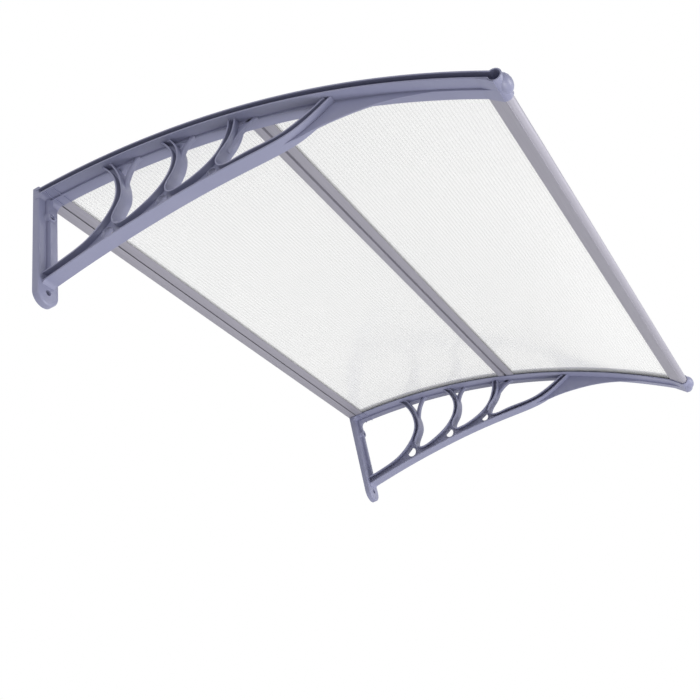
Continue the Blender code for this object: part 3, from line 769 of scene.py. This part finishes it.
rail("middle_rail", [extrusion([side_view(outline)], BOTH_ENDS)])

# Front rail: an aluminium extrusion with a slot for the front sheet and a hollow round bead that
# lies in the tubes of both brackets. Between the brackets a keel like theirs runs below the bead.
FRONT_RAIL_S = 845.5
BEAD_R = TUBE_BORE_R - FIT
BEAD_WALL = 1.5
BEAD_SIDES = 60
BORE_SIDES = 40
RIDGE_BELOW = 0.6  # the keel's ridge lies this far below the bead
RIDGE_BACK = 0.5  # and this far behind the ridge of the brackets
neck = np.arcsin(RAIL_HALF / BEAD_R)
tip = on_bend(TUBE_S, 0)
slot_end = FRONT_RAIL_S + SLOT_DEPTH
bead = arc(tip, BEAD_R, TUBE_TILT + np.pi - neck, TUBE_TILT - np.pi + neck, BEAD_SIDES)
# The lip's last corner and the tail's first are single points, which the bead joins.
lip = rounded([(slot_end, SLOT_HALF), (FRONT_RAIL_S, SLOT_HALF), (FRONT_RAIL_S, RAIL_HALF),
               (slot_end, RAIL_HALF)], RAIL_EDGE)[:-CORNER_STEPS]
tail = rounded([(slot_end, -RAIL_HALF), (FRONT_RAIL_S, -RAIL_HALF), (FRONT_RAIL_S, -SLOT_HALF),
                (slot_end, -SLOT_HALF)], RAIL_EDGE)[CORNER_STEPS:]
outline = np.vstack([side_view(lip), bead, side_view(tail)])
bore = arc(tip, BEAD_R - BEAD_WALL, 0, 2 * np.pi, BORE_SIDES)[:-1]
rail("front_rail", [extrusion([outline, bore], BOTH_ENDS),
                    keel(FRONT_RAIL_S + RAIL_EDGE, KEEL_END - RIDGE_BACK, RAIL_HALF,
                         BEAD_R + RIDGE_BELOW, BEAD_R - BEAD_WALL / 2, SPAN / 2 - NOTCH_HALF)])

# Sheets: milky twin-wall polycarbonate, 4.5 mm thick, bent to the arch, with flutes along the
# wall. The thin skins sink a little between the ribs, which shows as fine lines.
SKIN = 0.6
SKIN_STEPS = 8
SHEET_RIB = 0.5
FLUTE_PITCH = 7.0
FLUTE_ROUND = 0.3
SHEET_END = 1.2
SINK = 0.025
MILKY_COLOURS = ((0.945, 0.948, 0.945), (0.96, 0.96, 0.955))

milky, tree, shader, place = principled("milky_twin_wall")
tree.links.new(blended(tree, noise(tree, place, scale=5.0), MILKY_COLOURS),
               shader.inputs["Base Color"])
tree.links.new(spread(tree, noise(tree, place, scale=25.0), low=0.13, high=0.18),
               shader.inputs["Roughness"])
shader.inputs["Alpha"].default_value = 0.22
shader.inputs["IOR"].default_value = 1.58
# The coat stands for the reflections of the skins' other faces.
shader.inputs["Coat Weight"].default_value = 1.0
shader.inputs["Coat IOR"].default_value = 2.4
shader.inputs["Coat Roughness"].default_value = 0.12


def twin_wall(start, end):
    """Sheet section: skins at +-(SHEET / 2 - SINK * sin^2) and one air cell a flute."""
    count = round((end - start) / FLUTE_PITCH)
    ribs = np.linspace(start, end, count + 1)
    s = np.linspace(start, end, count * SKIN_STEPS + 1)
    skin = SHEET / 2 - SINK * np.sin(np.pi * (s - start) / (end - start) * count) ** 2
    outer = np.vstack([on_bend(s, skin), on_bend(s[::-1], -skin[::-1])])
    air = SHEET / 2 - SKIN
    cells = []
    for i in range(count):
        near = ribs[i] + (SHEET_END if i == 0 else SHEET_RIB / 2)
        far = ribs[i + 1] - (SHEET_END if i == count - 1 else SHEET_RIB / 2)
        cells.append(side_view(rounded([(near, air), (far, air), (far, -air), (near, -air)],
                                       FLUTE_ROUND)))
    return [outer] + cells


joint = web_half + FIT
for name, start, end in (("rear_sheet", SLOT_FLOOR + FIT, MIDDLE_RAIL_S - joint),
                         ("front_sheet", MIDDLE_RAIL_S + joint, slot_end - FIT)):
    piece(name + "_twin_wall", [extrusion(twin_wall(start, end), BOTH_ENDS)], milky,
          [name])

# Studio: a plain pale floor well below the canopy, a white room and soft lamps round the camera.
# The canopy hangs at door height over the floor, so the camera looks up at it.
FLOOR_Z = -2.7
FLOOR_HALF = 14.0
FLOOR_COLOURS = ((0.86, 0.86, 0.86), (0.88, 0.88, 0.88))
corners = [(-FLOOR_HALF, -FLOOR_HALF, FLOOR_Z), (FLOOR_HALF, -FLOOR_HALF, FLOOR_Z),
           (FLOOR_HALF, FLOOR_HALF, FLOOR_Z), (-FLOOR_HALF, FLOOR_HALF, FLOOR_Z)]
mesh = bpy.data.meshes.new("floor")
mesh.from_pydata(corners, [], [(0, 1, 2, 3)])
floor = bpy.data.objects.new("floor", mesh)
bpy.context.scene.collection.objects.link(floor)
paper, tree, shader, place = principled("pale_floor")
tree.links.new(blended(tree, noise(tree, place, scale=0.6), FLOOR_COLOURS, ends=(0.3, 0.7)),
               shader.inputs["Base Color"])
shader.inputs["Roughness"].default_value = 0.8
mesh.materials.append(paper)

# The room looks pure white to the camera, in reflections and through the sheets, and lights the
# canopy more softly.
WORLD_LIGHT = 0.5
WHITE = (1, 1, 1, 1)
world = bpy.data.worlds.new("white_room")
bpy.context.scene.world = world
world.use_nodes = True
tree = world.node_tree
tree.nodes.clear()
ray = tree.nodes.new("ShaderNodeLightPath")
seen = 0.0
for kind in ("Is Camera Ray", "Is Glossy Ray", "Is Transmission Ray"):
    seen = calculated(tree, "MAXIMUM", ray.outputs[kind], seen)
mixed = tree.nodes.new("ShaderNodeMixShader")
tree.links.new(seen, mixed.inputs["Fac"])
for socket, strength in ((1, WORLD_LIGHT), (2, 1.0)):
    room = tree.nodes.new("ShaderNodeBackground")
    room.inputs["Color"].default_value = WHITE
    room.inputs["Strength"].default_value = strength
    tree.links.new(room.outputs[0], mixed.inputs[socket])
tree.links.new(mixed.outputs[0], tree.nodes.new("ShaderNodeOutputWorld").inputs["Surface"])

LAMP_TARGET = (0, -0.4, -0.1)


def lamp(name, place, size, power):
    """Square soft lamp aimed at the canopy, all in metres."""
    data = bpy.data.lights.new(name, "AREA")
    data.size = size
    data.energy = power
    made = bpy.data.objects.new(name, data)
    made.location = place
    aim = np.array(LAMP_TARGET) - np.array(place)
    made.rotation_mode = "QUATERNION"
    made.rotation_quaternion = Vector(aim).to_track_quat("-Z", "Y")
    bpy.context.scene.collection.objects.link(made)


lamp("front_lamp", (0.9, -3.2, -1.0), size=1.4, power=45)
lamp("low_lamp", (-0.1, -0.9, -2.55), size=1.2, power=32)
lamp("side_lamp", (-3.4, -0.9, 0.1), size=0.9, power=20)
lamp("top_lamp", (0.5, -1.2, 2.6), size=2.0, power=45)

# The camera looks up from below the left bracket, as in the photograph, with a small shift for
# the framing.
camera = bpy.data.objects.new("camera", bpy.data.cameras.new("camera"))
bpy.context.scene.collection.objects.link(camera)
camera.location = (-1.5805, -0.9147, -1.2297)
camera.rotation_euler = np.radians((130.089, 12.537, -62.414))
camera.data.lens = 50.4
camera.data.shift_x = -0.05
camera.data.shift_y = -0.2
bpy.context.scene.camera = camera
bpy.context.scene.view_settings.view_transform = "Standard"
